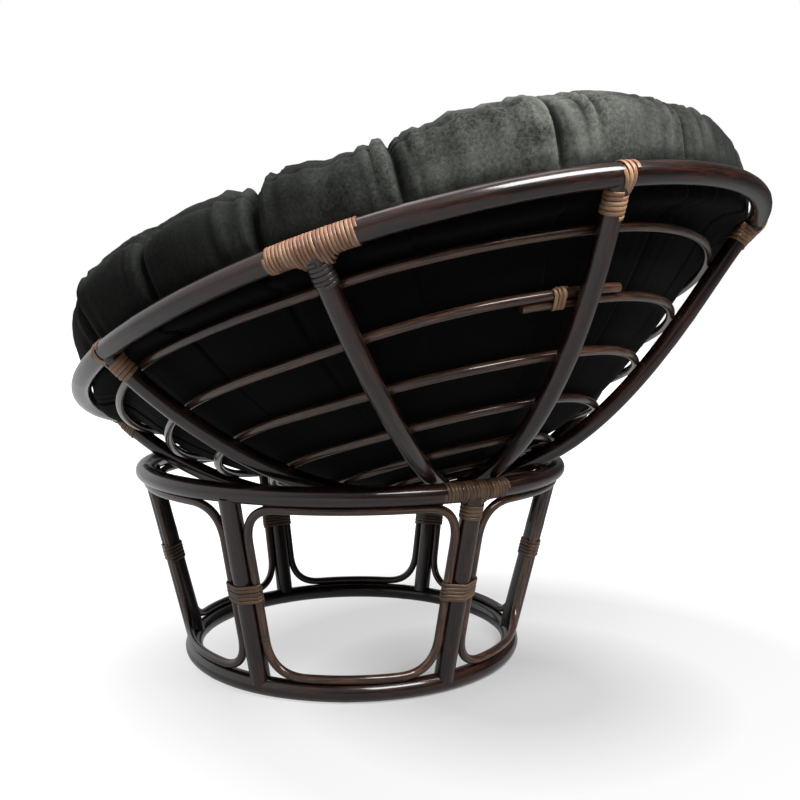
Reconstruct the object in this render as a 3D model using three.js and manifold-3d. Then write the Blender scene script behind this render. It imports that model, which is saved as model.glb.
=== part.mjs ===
// Papasan chair: a round rattan bowl lies in a rattan ring stand, with a tufted cushion in it.
// Millimetres, +Z up. The low front of the bowl points towards -Y.
import * as THREE from 'three';
import { mergeVertices } from 'three/addons/utils/BufferGeometryUtils.js';
import Module from 'manifold-3d';

const wasm = await Module();
wasm.setup();

// Fits
const seatGap = 0.3;
const degree = Math.PI / 180;
const turn = 2 * Math.PI;

// Binding cane: flat inside, ridged outside
const caneWidth = 4.8;
const caneThickness = 1;
const canePitch = 5.6;
const bundleSlack = 0.25;
const woundGap = caneThickness + 2 * seatGap;

// Stand
const standPole = 28;
const legPole = 30;
const panelPole = 13;
const topRingRadius = 341;
const bottomRingRadius = 267;
const standHeight = 324;
const panelCorner = 55;
const legCount = 6;
const standTurn = 14.5 * degree;
const jointLeg = 1;
const lashedLegs = [1, 4];
const legBindingHeightShare = 0.5;

// Bowl: its ribs lie on a sphere that passes through the long ends of the oval rim. The tables
// say for each rib how far round it is, in 360ths of a turn from the low front, how flat it is
// there and how low the rings sit on it.
const rimLength = 1113;
const rimWidth = 1011;
const rimPole = 28;
const ribPole = 26;
const hubPole = 22;
const hubRadius = 48;
const ringPole = 12.5;
const bowlDepth = 266.5;
const bowlTilt = 18.7 * degree;
const ribTurnShares = [29, 78, 120, 158, 207, 256, 301, 345];
const ribFlatDepth = 25;
const ribFlatShares = [0, 0.76, 0.4, 0.32, 1, 0.64, 0.16, 0];
const flatFrom = 14 * degree;
const flatShape = 1.75;
const ringDrop = 28;
const ringDropShares = [0, 0, 0, 0.07, 1, 0.3, 0, 0];
const scarfRib = 2;
const drawShape = 5;
const ringRadii = [494, 427, 353, 276, 193, 105];
const lappedRing = 1;
const lapFrom = 147.5 * degree;
const lapSpans = 2;
const lapBindingAt = 154.2 * degree;
const slopeStep = 1;

// Cushion
const cushionThickness = 130;
const cushionRimClearance = 7;
const cushionRise = 0.6;
const rollHeight = 119;
const rollInset = 62;
const gatherDepth = 12;
const gatherCount = 18;
const gatherStart = 12 * degree;
const tuftDepth = 22;
const tuftCount = 9;
// Each row of the roll: how far it is set in, its height, and how deep the gathers draw it
const rollShares = [
  [0.16, 0.2, 0.4], [0.04, 0.42, 0.8], [0, 0.62, 1], [0.12, 0.8, 1], [0.42, 0.94, 1], [1, 1, 0.8],
];
// Each row of the top: its place on the way out to the roll, and how gathers and tufts draw it
const topShares = [[0.82, 1, 0], [0.68, 1, 0.3], [0.55, 1, 1], [0.3, 0.6, 0]];

// Turns of cane
const jointTurns = 19;
const rimLashTurns = 3;
const ribLashTurns = 5;
const legLashTurns = 4;
const legBindingTurns = 5;
const lapTurns = 3;

// Facets
const poleSides = 8;
const slimSides = 6;
const bundleSteps = 12;
const rimSteps = 52;
const standSteps = 40;
const ribSteps = 14;
const hubSteps = 16;
const panelSteps = 26;
const ringStepLength = 72;
const cushionSteps = 72;

// Sizes that follow from those above
const poleFlat = Math.cos(Math.PI / poleSides);
const slimFlat = Math.cos(Math.PI / slimSides);
const bundleLift = 1 / Math.cos(Math.PI / bundleSteps);
const legAngle = turn / legCount;
const topRingHeight = standHeight - standPole / 2;
const bottomRingHeight = standPole * poleFlat / 2;
const standRise = topRingHeight - bottomRingHeight;
const standFlare = topRingRadius - bottomRingRadius;
const panelReach = (standPole * poleFlat + panelPole) / 2 + seatGap;
const besideLeg = (legPole * poleFlat + panelPole) / 2 + seatGap;
const panelBow = besideLeg ** 2 / (2 * bottomRingRadius);
const rimHalfLength = (rimLength - rimPole) / 2;
const rimHalfWidth = (rimWidth - rimPole) / 2;
const rimDrawShare = 1 - rimHalfWidth / rimHalfLength;
const bowlRadius = (rimHalfLength ** 2 + bowlDepth ** 2) / (2 * bowlDepth);
const rimDrop = bowlRadius - bowlDepth;
const rimAngle = Math.asin(rimHalfLength / bowlRadius);
const hubAngle = Math.asin(hubRadius / bowlRadius);
const ribPlaces = ribTurnShares.map((share) => share * degree);
const ribSag = 2 * bowlRadius * (1 - Math.cos((rimAngle - hubAngle) / ribSteps / 2));
const ringInset = (ribPole * poleFlat + ringPole * slimFlat) / 2 + ribSag + seatGap;
const lapShift = ringPole + 2 * seatGap;
const bundleReach = bundleLift * ringPole / 2 + bundleSlack + woundGap;
const cushionInset = ringInset + bundleReach + cushionRise;
const contactReach = bowlRadius + (ribPole * poleFlat + standPole) / 2 + woundGap;
const bowlCentreHeight = topRingHeight + Math.sqrt(contactReach ** 2 - topRingRadius ** 2);
const seatHeight = cushionThickness + cushionInset - bowlDepth;

const rattan = { color: 0x33221e, roughness: 0.3, metalness: 0 };
const slimRattan = { color: 0x3d2a22, roughness: 0.38, metalness: 0 };
const tanCane = { color: 0xa87a58, roughness: 0.55, metalness: 0 };
const darkCane = { color: 0x6b5640, roughness: 0.55, metalness: 0 };
const suede = { color: 0x1e201e, roughness: 0.9, metalness: 0 };

const count = (number) => Array.from({ length: number }, (_, index) => index);
const around = (angle, radius, height) =>
  new THREE.Vector3(radius * Math.cos(angle), radius * Math.sin(angle), height);

function addPiece(group, name, geometry, finish) {
  const mesh = new THREE.Mesh(geometry, new THREE.MeshStandardMaterial(finish));
  mesh.name = name;
  group.add(mesh);
}

// A closed skin through stations, each a ring of points that turns right-handed about the path
function skin(stations, closed) {
  const sides = stations[0].length;
  const spans = closed ? stations.length : stations.length - 1;
  const triangles = [];
  for (let i = 0; i < spans; i++) {
    const here = i * sides;
    const next = ((i + 1) % stations.length) * sides;
    for (let j = 0; j < sides; j++) {
      const k = (j + 1) % sides;
      triangles.push(here + j, here + k, next + k, here + j, next + k, next + j);
    }
  }
  if (!closed) {
    const end = spans * sides;
    for (let j = 1; j < sides - 1; j++) {
      triangles.push(0, j + 1, j, end, end + j, end + j + 1);
    }
  }
  return new THREE.BufferGeometry().setFromPoints(stations.flat()).setIndex(triangles);
}

// The frame of a line at t: its direction, and outward and across in the section there
function frameOn(line, t) {
  const step = line.stride / 100;
  const along = line.place(t + step).sub(line.place(t - step)).normalize();
  const outward = line.outward(t);
  outward.addScaledVector(along, -outward.dot(along)).normalize();
  return { centre: line.place(t), along, outward, across: along.clone().cross(outward) };
}

function sectionPoint(frame, angle, radius, shift) {
  return frame.centre.clone()
    .addScaledVector(frame.outward, shift + radius * Math.cos(angle))
    .addScaledVector(frame.across, radius * Math.sin(angle));
}

// A pole along a line, with flats of its facets towards outward and across
function pole(line, diameter, sides) {
  const stations = count(line.closed ? line.steps : line.steps + 1).map((i) => {
    const frame = frameOn(line, line.start + i * line.stride);
    return count(sides).map((j) => sectionPoint(frame, turn * (j + 0.5) / sides, diameter / 2, 0));
  });
  return skin(stations, line.closed);
}

// Where the straight run of a pole starts that t lies on
const runStart = (line, t) =>
  line.start + Math.floor((t - line.start) / line.stride) * line.stride;

function runPlace(line, t) {
  const from = runStart(line, t);
  return line.place(from).lerp(line.place(from + line.stride), (t - from) / line.stride);
}

// Length of the run for a step of one in t
function speedOn(line, t) {
  const from = runStart(line, t);
  return line.place(from + line.stride).distanceTo(line.place(from)) / line.stride;
}

// Least distance between points of a strand that lie on neighbouring turns
function leastGap(stations, steps) {
  let least = Infinity;
  for (let i = 0; i < stations.length; i++) {
    for (let k = i + steps - 1; k < Math.min(stations.length, i + 2 * steps); k++) {
      for (const a of stations[i]) {
        for (const b of stations[k]) least = Math.min(least, a.distanceTo(b));
      }
    }
  }
  return least;
}

// One unbroken strand wound about a bundle of poles that lie side by side
function winding(name, line, middle, turns, bundle, steps, slack = 0) {
  let t = middle - canePitch * turns / speedOn(line, middle) / 2;
  const widest = (angle) => {
    const reach = (member) => member.shift * Math.cos(angle) + member.radius;
    return bundle.reduce((best, member) => (reach(member) > reach(best) ? member : best));
  };
  const stations = count(turns * steps + 1).map((i) => {
    const angle = turn * (i + 0.5) / steps;
    const frame = { ...frameOn(line, t), centre: runPlace(line, t) };
    t += canePitch / speedOn(line, t) / steps;
    const member = widest(angle);
    const radius = member.radius + seatGap + slack;
    const foot = sectionPoint(frame, angle, radius, member.shift);
    const ridge = sectionPoint(frame, angle, radius + caneThickness, member.shift);
    const side = frame.along.clone().multiplyScalar(caneWidth / 2);
    return [ridge, foot.clone().sub(side), foot.clone().add(side)];
  });
  console.log(`${name}: least gap between turns ${leastGap(stations, steps).toFixed(2)} mm`);
  return skin(stations, false);
}

const onePole = (diameter) => [{ shift: 0, radius: diameter / 2 }];

function toSolid(geometry) {
  const bare = geometry.clone();
  bare.deleteAttribute('normal');
  bare.deleteAttribute('uv');
  const merged = mergeVertices(bare);
  const vertProperties = new Float32Array(merged.getAttribute('position').array);
  const triVerts = new Uint32Array(merged.getIndex().array);
  return new wasm.Manifold(new wasm.Mesh({ numProp: 3, vertProperties, triVerts }));
}

// A pole end cut to the round of what it butts against
function cope(geometry, ...cutters) {
  const cut = cutters.reduce((solid, cutter) => solid.subtract(toSolid(cutter)), toSolid(geometry));
  const { vertProperties, triVerts } = cut.getMesh();
  const coped = new THREE.BufferGeometry();
  coped.setAttribute('position', new THREE.BufferAttribute(vertProperties, 3));
  return coped.setIndex(new THREE.BufferAttribute(triVerts, 1));
}

// A level circular ring, with flats of its section facing up and down
function hoop(radius, height, diameter, steps) {
  const section = count(poleSides + 1).map((i) => {
    const angle = turn * (i + 0.5) / poleSides;
    return new THREE.Vector2(
      radius + diameter / 2 * Math.cos(angle),
      height + diameter / 2 * Math.sin(angle),
    );
  });
  section[poleSides].copy(section[0]);
  return new THREE.LatheGeometry(section, steps).rotateX(turn / 4);
}

const topRing = (diameter) => hoop(topRingRadius, topRingHeight, diameter, standSteps);
const bottomRing = (diameter) => hoop(bottomRingRadius, bottomRingHeight, diameter, standSteps);
const topRingLine = {
  start: 0,
  stride: turn / standSteps,
  place: (angle) => around(angle, topRingRadius, topRingHeight),
  outward: (angle) => around(angle, 1, 0),
};

// A leg's line lies between the centre lines of the two rings
function legLine(angle) {
  const foot = around(angle, bottomRingRadius, bottomRingHeight);
  const head = around(angle, topRingRadius, topRingHeight);
  const upward = head.clone().sub(foot).normalize();
  const length = foot.distanceTo(head);
  const trim = standPole / 4;
  return {
    start: trim,
    stride: length - 2 * trim,
    steps: 1,
    closed: false,
    length,
    place: (distance) => foot.clone().addScaledVector(upward, distance),
    outward: () => around(angle + turn / 4, 1, 0),
  };
}

function leg(angle, topGap) {
  return cope(
    pole(legLine(angle), legPole, poleSides),
    topRing(standPole + 2 * topGap),
    bottomRing(standPole + 2 * seatGap),
  );
}

// A panel loop is drawn flat, as distance round the stand and height, with rounded corners
function panelOutline() {
  const low = bottomRingHeight + panelReach;
  const high = topRingHeight - panelReach;
  const corner = (side, height) => {
    const radius = coneRadius(height);
    return new THREE.Vector2(side * radius * (legAngle / 2 - Math.asin(besideLeg / radius)), height);
  };
  const corners = [corner(-1, low), corner(1, low), corner(1, high), corner(-1, high)];
  const outline = new THREE.Path();
  corners.forEach((at, i) => {
    const towards = (other) => at.clone().add(other.clone().sub(at).setLength(panelCorner));
    const start = towards(corners[(i + 3) % corners.length]);
    const end = towards(corners[(i + 1) % corners.length]);
    if (i === 0) outline.moveTo(start.x, start.y);
    else outline.lineTo(start.x, start.y);
    outline.quadraticCurveTo(at.x, at.y, end.x, end.y);
  });
  outline.closePath();
  return outline;
}

const coneRadius = (height) =>
  bottomRingRadius + standFlare * (height - bottomRingHeight) / standRise;

// It fills the bay between two legs, on the cone that the legs lie on
function panelLoop(angle) {
  const outline = panelOutline();
  const flat = (t) => outline.getPointAt((t + 1) % 1);
  const bearing = ({ x, y }) => angle + x / coneRadius(y);
  return pole({
    start: 0,
    stride: 1 / panelSteps,
    steps: panelSteps,
    closed: true,
    place: (t) => around(bearing(flat(t)), coneRadius(flat(t).y), flat(t).y),
    outward: (t) => around(bearing(flat(t)), standRise, -standFlare),
  }, panelPole, slimSides);
}

// A leg is bound at mid height to the panel loops on both sides of it
function legBinding(name, angle) {
  const line = legLine(angle);
  const bundle = [
    { shift: 0, radius: bundleLift * legPole / 2 },
    { shift: besideLeg, radius: bundleLift * panelPole / 2 },
    { shift: -besideLeg, radius: bundleLift * panelPole / 2 },
  ];
  const middle = line.length * legBindingHeightShare;
  const slack = bundleSlack + panelBow;
  return winding(name, line, middle, legBindingTurns, bundle, bundleSteps, slack);
}

function legLashing(name, angle) {
  const line = legLine(angle);
  const below = standPole / 2 + woundGap + (legLashTurns + 1) * canePitch / 2;
  return winding(name, line, line.length - below, legLashTurns, onePole(legPole), poleSides);
}

function buildStand() {
  const stand = new THREE.Group();
  addPiece(stand, 'stand_bottom_ring', bottomRing(standPole), rattan);
  addPiece(stand, 'stand_top_ring', topRing(standPole), rattan);
  for (let i = 0; i < legCount; i++) {
    const angle = standTurn + i * legAngle;
    const number = i + 1;
    const binding = `leg_binding_${number}`;
    addPiece(stand, `leg_${number}`, leg(angle, i === jointLeg ? woundGap : seatGap), rattan);
    addPiece(stand, `panel_loop_${number}`, panelLoop(angle + legAngle / 2), slimRattan);
    addPiece(stand, binding, legBinding(binding, angle), darkCane);
  }
  for (const i of lashedLegs) {
    const lashing = `leg_top_lashing_${i + 1}`;
    addPiece(stand, lashing, legLashing(lashing, standTurn + i * legAngle), darkCane);
  }
  const joint = 'stand_top_ring_binding';
  const middle = standTurn + jointLeg * legAngle;
  const wound = winding(joint, topRingLine, middle, jointTurns, onePole(standPole), poleSides);
  addPiece(stand, joint, wound, darkCane);
  return stand;
}

// The value at a place between two ribs, for shares that are given at the ribs
function shareAt(place, shares) {
  const at = THREE.MathUtils.euclideanModulo(place - ribPlaces[0], turn) + ribPlaces[0];
  const after = (ribPlaces.findIndex((rib) => rib > at) + shares.length) % shares.length;
  const before = (after + shares.length - 1) % shares.length;
  const span = THREE.MathUtils.euclideanModulo(ribPlaces[after] - ribPlaces[before], turn);
  const way = THREE.MathUtils.smoothstep((at - ribPlaces[before]) / span, 0, 1);
  return THREE.MathUtils.lerp(shares[before], shares[after], way);
}

// How much higher the shell is there than the sphere, because its ribs are flatter
function flatLift(radius, place) {
  const angle = Math.asin(radius / bowlRadius);
  const way = THREE.MathUtils.clamp((angle - flatFrom) / (rimAngle - flatFrom), 0, 1);
  const peak = flatShape / (flatShape + 1);
  const share = (way / peak) ** flatShape * (1 - way) / (1 - peak);
  return ribFlatDepth * shareAt(place, ribFlatShares) * share / Math.cos(angle);
}

// The bowl's shell is a sphere about its origin whose sides are drawn in to the oval rim.
// Place is the angle from the low front, and radius is the one before the drawing in.
function shellPlace(radius, place) {
  const drawn = 1 - rimDrawShare * (radius / rimHalfLength) ** drawShape * Math.sin(place) ** 2;
  const height = flatLift(radius, place) - Math.sqrt(bowlRadius ** 2 - radius ** 2);
  return around(place - turn / 4, radius * drawn, height);
}

function shellOutward(radius, place) {
  const at = shellPlace(radius, place);
  const upSlope = shellPlace(radius + slopeStep, place).sub(at);
  const onward = shellPlace(radius, place + degree).sub(at);
  return onward.cross(upSlope).normalize();
}

const shellPoint = (radius, place, inset) =>
  shellPlace(radius, place).addScaledVector(shellOutward(radius, place), -inset);

const rimLine = {
  start: 0,
  stride: turn / rimSteps,
  steps: rimSteps,
  closed: true,
  place: (place) => shellPlace(rimHalfLength, place),
  outward: (place) => around(place - turn / 4, 1, 0),
};

const ribLine = (place) => ({
  start: hubAngle,
  stride: (rimAngle - hubAngle) / ribSteps,
  steps: ribSteps,
  closed: false,
  place: (angle) => shellPlace(bowlRadius * Math.sin(angle), place),
  outward: (angle) => shellOutward(bowlRadius * Math.sin(angle), place),
});

const rim = (diameter) => pole(rimLine, diameter, poleSides);
const hub = (diameter) => hoop(hubRadius, -bowlRadius * Math.cos(hubAngle), diameter, hubSteps);

function rib(place) {
  return cope(
    pole(ribLine(place), ribPole, poleSides),
    rim(rimPole + 2 * woundGap),
    hub(hubPole + 2 * seatGap),
  );
}

function ribLashing(name, place) {
  const line = ribLine(place);
  const below = rimPole / 2 + woundGap + (ribLashTurns + 1) * canePitch / 2;
  const middle = rimAngle - below / speedOn(line, rimAngle - line.stride / 2);
  return winding(name, line, middle, ribLashTurns, onePole(ribPole), poleSides);
}

const ringSteps = (radius) => Math.round(turn * radius / ringStepLength);
const ringAt = (radius, place) => radius - ringDrop * shareAt(place, ringDropShares);

function shellRing(radius) {
  const steps = ringSteps(radius);
  return pole({
    start: 0,
    stride: turn / steps,
    steps,
    closed: true,
    place: (place) => shellPoint(ringAt(radius, place), place, ringInset),
    outward: (place) => shellOutward(ringAt(radius, place), place),
  }, ringPole, slimSides);
}

// The lapped ring is open: past a full turn it runs on beside its own start, nearer to the rim
function lappedShellRing(radius) {
  const upSlope = shellPoint(radius + slopeStep, lapFrom, ringInset)
    .distanceTo(shellPoint(radius, lapFrom, ringInset)) / slopeStep;
  const radiusAt = (t) => {
    const past = THREE.MathUtils.smoothstep(t, turn - legAngle, turn);
    return ringAt(radius, t + lapFrom) + lapShift / upSlope * (past - 1 / 2);
  };
  return pole({
    start: 0,
    stride: turn / ringSteps(radius),
    steps: ringSteps(radius) + lapSpans,
    closed: false,
    place: (t) => shellPoint(radiusAt(t), t + lapFrom, ringInset),
    outward: (t) => shellOutward(radiusAt(t), t + lapFrom),
  }, ringPole, slimSides);
}

function lapBinding(name, radius) {
  const bundle = [
    { shift: -lapShift / 2, radius: bundleLift * ringPole / 2 },
    { shift: lapShift / 2, radius: bundleLift * ringPole / 2 },
  ];
  const line = {
    start: lapFrom,
    stride: turn / ringSteps(radius),
    place: (place) => shellPoint(ringAt(radius, place), place, ringInset),
    outward: (place) => {
      const at = ringAt(radius, place);
      return shellPlace(at + slopeStep, place).sub(shellPlace(at, place));
    },
  };
  return winding(name, line, lapBindingAt, lapTurns, bundle, bundleSteps, bundleSlack);
}

function buildBowl() {
  const bowl = new THREE.Group();
  addPiece(bowl, 'bowl_rim', rim(rimPole), rattan);
  addPiece(bowl, 'bowl_hub', hub(hubPole), rattan);
  ribPlaces.forEach((place, i) => {
    const number = i + 1;
    const joined = i === scarfRib;
    const over = joined ? 'rim_joint_binding' : `rim_lashing_${number}`;
    const turns = joined ? jointTurns : rimLashTurns;
    const below = `rib_lashing_${number}`;
    const overRim = winding(over, rimLine, place, turns, onePole(rimPole), poleSides);
    addPiece(bowl, `rib_${number}`, rib(place), rattan);
    addPiece(bowl, over, overRim, tanCane);
    addPiece(bowl, below, ribLashing(below, place), joined ? darkCane : tanCane);
  });
  ringRadii.forEach((radius, i) => {
    const ring = i === lappedRing ? lappedShellRing(radius) : shellRing(radius);
    addPiece(bowl, `shell_ring_${i + 1}`, ring, slimRattan);
  });
  const lap = 'ring_lap_binding';
  addPiece(bowl, lap, lapBinding(lap, ringRadii[lappedRing]), tanCane);
  return bowl;
}

// A row of the cushion goes round at one level. Gather and tuft say how much it is drawn there,
// and inward is the share of the gather that goes inwards and not down.
const underRow = (radius) => ({
  gather: 0,
  inward: 0,
  tuft: 0,
  point: (place) => shellPoint(radius, place, cushionInset),
});

function upperRow(share, inset, height, gather, inward, tuft = 0) {
  return {
    gather,
    inward,
    tuft,
    point: (place) => {
      const edge = rimHalfLength * (1 - rimDrawShare * Math.sin(place) ** 2) - inset;
      return around(place - turn / 4, edge * share, height - rimDrop);
    },
  };
}

// Its underside lies in the rings, a gathered roll stands over the rim, and its top dips to
// the seat
function cushionRows() {
  const insideRim = rimPole / 2 + cushionRimClearance;
  const hub = Math.min(...ringRadii);
  const under = ringRadii.filter((radius) => radius > hub).reverse();
  const roll = rollShares.map(([inset, height, gather]) =>
    upperRow(1, rollInset * inset, rollHeight * height, gather, 1));
  const top = topShares.map(([share, gather, tuft]) => {
    const height = seatHeight + (rollHeight - seatHeight) * share ** 2;
    return upperRow(share, rollInset, height, gather, 0, tuft);
  });
  const beside = upperRow(1, insideRim, cushionRimClearance, 0, 0);
  return [...under.map(underRow), beside, ...roll, ...top];
}

function cushion() {
  const rows = cushionRows();
  const pulses = (times, place, power) => ((1 + Math.cos(times * place)) / 2) ** power;
  const points = [new THREE.Vector3(0, 0, cushionInset - bowlRadius)];
  for (const row of rows) {
    for (const j of count(cushionSteps)) {
      const onward = turn * j / cushionSteps;
      const place = gatherStart + onward;
      const gather = gatherDepth * row.gather * pulses(gatherCount, onward, 2);
      const tuft = tuftDepth * row.tuft * pulses(tuftCount, onward, 4);
      const down = gather * (1 - row.inward / 2) + tuft;
      const drawn = around(place - turn / 4, -gather * row.inward, -down);
      points.push(row.point(place).add(drawn));
    }
  }
  points.push(new THREE.Vector3(0, 0, seatHeight - rimDrop - tuftDepth));
  const triangles = [];
  const top = points.length - 1;
  for (const j of count(cushionSteps)) {
    const k = (j + 1) % cushionSteps;
    triangles.push(0, k + 1, j + 1, top, top - cushionSteps + j, top - cushionSteps + k);
    for (let i = 0; i < rows.length - 1; i++) {
      const here = i * cushionSteps + 1;
      const next = here + cushionSteps;
      triangles.push(here + j, here + k, next + k, here + j, next + k, next + j);
    }
  }
  return new THREE.BufferGeometry().setFromPoints(points).setIndex(triangles);
}

const chair = new THREE.Group();
chair.add(buildStand());
const bowl = buildBowl();
addPiece(bowl, 'cushion', cushion(), suede);
bowl.position.z = bowlCentreHeight;
bowl.rotation.x = bowlTilt;
chair.add(bowl);

// The origin is on the floor under the middle of the chair
chair.updateMatrixWorld(true);
const box = new THREE.Box3().setFromObject(chair, true);
const middle = box.getCenter(new THREE.Vector3());
chair.position.set(-middle.x, -middle.y, -box.min.z);

export default chair;
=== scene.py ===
import bpy
import math
from mathutils import Matrix, Vector, noise


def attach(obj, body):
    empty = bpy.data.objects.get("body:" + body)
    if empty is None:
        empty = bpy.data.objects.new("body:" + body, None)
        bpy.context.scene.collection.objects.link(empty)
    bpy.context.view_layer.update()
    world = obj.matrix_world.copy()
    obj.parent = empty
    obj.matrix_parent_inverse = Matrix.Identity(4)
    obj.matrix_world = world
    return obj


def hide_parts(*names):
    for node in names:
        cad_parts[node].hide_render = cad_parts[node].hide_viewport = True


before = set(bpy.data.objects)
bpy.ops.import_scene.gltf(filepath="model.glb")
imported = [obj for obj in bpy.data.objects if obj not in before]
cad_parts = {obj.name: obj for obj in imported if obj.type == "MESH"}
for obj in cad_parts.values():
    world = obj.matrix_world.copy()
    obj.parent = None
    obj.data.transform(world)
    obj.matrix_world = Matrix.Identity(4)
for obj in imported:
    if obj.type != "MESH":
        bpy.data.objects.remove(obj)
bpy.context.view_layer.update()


# Helpers that all the sections share. Lengths are in metres, and angles in radians where a name
# doesn't say degrees.
turn = 2 * math.pi


def put(name, data):
    """A new object in the scene, at the origin."""
    thing = bpy.data.objects.new(name, data)
    bpy.context.scene.collection.objects.link(thing)
    return thing


def aimed(direction):
    """The rotation of a camera or lamp that points in a direction."""
    return direction.to_track_quat("-Z", "Y").to_euler()


def around(angle, radius, height):
    return Vector((radius * math.cos(angle), radius * math.sin(angle), height))


def clamp(share):
    return min(1.0, max(0.0, share))


def ease(way):
    """A smooth way from 0 to 1."""
    return way ** 2 * (3 - 2 * way)


def bell(off, width, power=2):
    """1 in the middle, falling off smoothly to both sides."""
    return math.exp(-(off / width) ** power)


# Camera: it stands behind the chair's right shoulder, at about the height of the rim, and
# looks slightly down.
camera = put("camera", bpy.data.cameras.new("camera"))
camera.data.sensor_width = 36
camera.data.lens = 41.77
camera.location = (1.1149, 0.9735, 0.5286)
camera_heading, camera_dip = math.radians(221.75), math.radians(4.13)
camera_right = (-0.666, 0.746, 0)
camera.rotation_euler = aimed(
    around(camera_heading, math.cos(camera_dip), -math.sin(camera_dip)))
bpy.context.scene.camera = camera
bpy.context.scene.view_settings.view_transform = "Standard"


# Floor and studio: a plain pale floor that runs out to a white backdrop, under large soft
# lamps. The floor's edge fades into the white, and the chair's shadow stays on it.
class Wire:
    """An output socket whose operators add the maths nodes of a shader."""

    def __init__(self, tree, socket):
        self.tree = tree
        self.socket = socket

    def maths(self, operation, *values):
        return Nodes(self.tree).node("ShaderNodeMath", dict(enumerate(values)), operation=operation)

    def __add__(self, other):
        return self.maths("ADD", self, other)

    def __sub__(self, other):
        return self.maths("SUBTRACT", self, other)

    def __mul__(self, other):
        return self.maths("MULTIPLY", self, other)

    def __pow__(self, other):
        return self.maths("POWER", self, other)


class Nodes:
    """A tree of nodes, to which they are added one by one."""

    def __init__(self, tree):
        self.tree = tree

    def node(self, kind, sockets, output=0, **settings):
        """Adds a node, feeds its sockets with wires or values, and gives one of its outputs."""
        made = self.tree.nodes.new(kind)
        for setting, value in settings.items():
            setattr(made, setting, value)
        for socket, value in sockets.items():
            if isinstance(value, Wire):
                self.tree.links.new(value.socket, made.inputs[socket])
            else:
                made.inputs[socket].default_value = value
        return Wire(self.tree, made.outputs[output])

    def end(self, wire, node, socket):
        """Links a wire to a node that is there already."""
        self.tree.links.new(wire.socket, self.tree.nodes[node].inputs[socket])

    def ray(self, kind):
        """1 for a ray of that kind and 0 for others."""
        return self.node("ShaderNodeLightPath", {}, f"Is {kind} Ray")

    def vectors(self, operation, first, second, output="Vector"):
        sockets = {0: first, 1: second}
        return self.node("ShaderNodeVectorMath", sockets, output, operation=operation)

    def ramp(self, source, low, high):
        """0 up to low, 1 from high on, and the share of the way between them."""
        sockets = {"Value": source, "From Min": low, "From Max": high}
        return self.node("ShaderNodeMapRange", sockets, clamp=True)

    def either(self, share, first, second):
        """A mix of two shaders."""
        return self.node("ShaderNodeMixShader", {0: share, 1: first, 2: second})


class Finish(Nodes):
    """A material and the record's slot that it is for. Its constants go on the shader's own
    sockets."""

    def __init__(self, name, slot, **constants):
        self.material = bpy.data.materials.new(name)
        self.material.use_nodes = True
        self.slot = slot
        super().__init__(self.material.node_tree)
        self.shader = self.tree.nodes["Principled BSDF"]
        for socket, value in constants.items():
            self.shader.inputs[socket.replace("_", " ")].default_value = value

    def drive(self, **wires):
        """Links wires to the shader's own sockets."""
        for socket, wire in wires.items():
            self.end(wire, "Principled BSDF", socket.replace("_", " "))

    def attribute(self, name, output="Fac"):
        return self.node("ShaderNodeAttribute", {}, output, attribute_name=name)

    def strand_place(self):
        """Where a point is on a swept piece, round its section and along it, and only along it."""
        lengthwise = self.node("ShaderNodeCombineXYZ", {"Z": self.attribute("along")})
        return self.vectors("ADD", self.attribute("round", "Vector"), lengthwise), lengthwise

    def blend(self, share, first, second):
        return self.node("ShaderNodeMix", {0: share, 6: first, 7: second}, 2, data_type="RGBA")

    def speckle(self, place, scale, detail=3.0, roughness=0.55, stretch=None):
        """Noise, finer along an axis where it is stretched by more."""
        if stretch:
            place = self.vectors("MULTIPLY", place, stretch)
        sockets = {"Vector": place, "Scale": scale, "Detail": detail, "Roughness": roughness}
        return self.node("ShaderNodeTexNoise", sockets)

    def dent(self, height, distance, strength):
        sockets = {"Height": height, "Distance": distance, "Strength": strength}
        return self.node("ShaderNodeBump", sockets)


def plain(colour):
    """An 8-bit screen colour as a linear one."""
    return tuple(((c / 255 + 0.055) / 1.055) ** 2.4 for c in colour) + (1.0,)


floor_reach = 30.0
floor_corners = [(x * floor_reach, y * floor_reach, 0)
                 for x, y in ((-1, -1), (1, -1), (1, 1), (-1, 1))]
floor_mesh = bpy.data.meshes.new("floor")
floor_mesh.from_pydata(floor_corners, [], [(0, 1, 2, 3)])
floor = put("floor", floor_mesh)
pale = Finish("pale_floor", None, Roughness=0.9, Base_Color=(0.5, 0.5, 0.5, 1),
              Specular_IOR_Level=0.0)
floor_place = pale.node("ShaderNodeTexCoord", {}, "Object")

# The camera sees a lit floor that is partly white under the chair and all white from 1.05 m out.
# A painted shadow makes it darkest in a small pool on the camera's side.
near_white, painted_shadow_depth = 0.42, 0.27
chair_middle, painted_shadow_middle = (-0.05, 0.2, 0), (-0.01, 0.2, 0)
from_chair = pale.vectors("DISTANCE", floor_place, chair_middle, "Value")
from_painted_shadow = pale.vectors("DISTANCE", floor_place, painted_shadow_middle, "Value")
white_share = pale.ramp(from_chair, 0.45, 1.05) * (1 - near_white) + near_white
# Painted shadow: the floor is made darker in a small pool on the camera's side
white_share -= pale.ramp(from_painted_shadow, 0.33, 0.12) * painted_shadow_depth
white_light = pale.node("ShaderNodeEmission", {"Color": (1, 1, 1, 1), "Strength": 1.5})
lit_floor = pale.either(white_share, Wire(pale.tree, pale.shader.outputs[0]), white_light)

# Gloss sees that floor faintly, and more of it on the camera's left. Other light sees a dull one.
rightward = pale.vectors("DOT_PRODUCT", floor_place, camera_right, "Value")
mirrored = pale.ramp(rightward, 0.9, -0.3) * 0.34 + 0.04
dull_floor = pale.node("ShaderNodeBsdfDiffuse", {"Color": (0.3, 0.3, 0.3, 1)})
seen = pale.ray("Camera") + pale.ray("Glossy") * mirrored
pale.end(pale.either(seen, dull_floor, lit_floor), "Material Output", "Surface")
floor_mesh.materials.append(pale.material)

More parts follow.
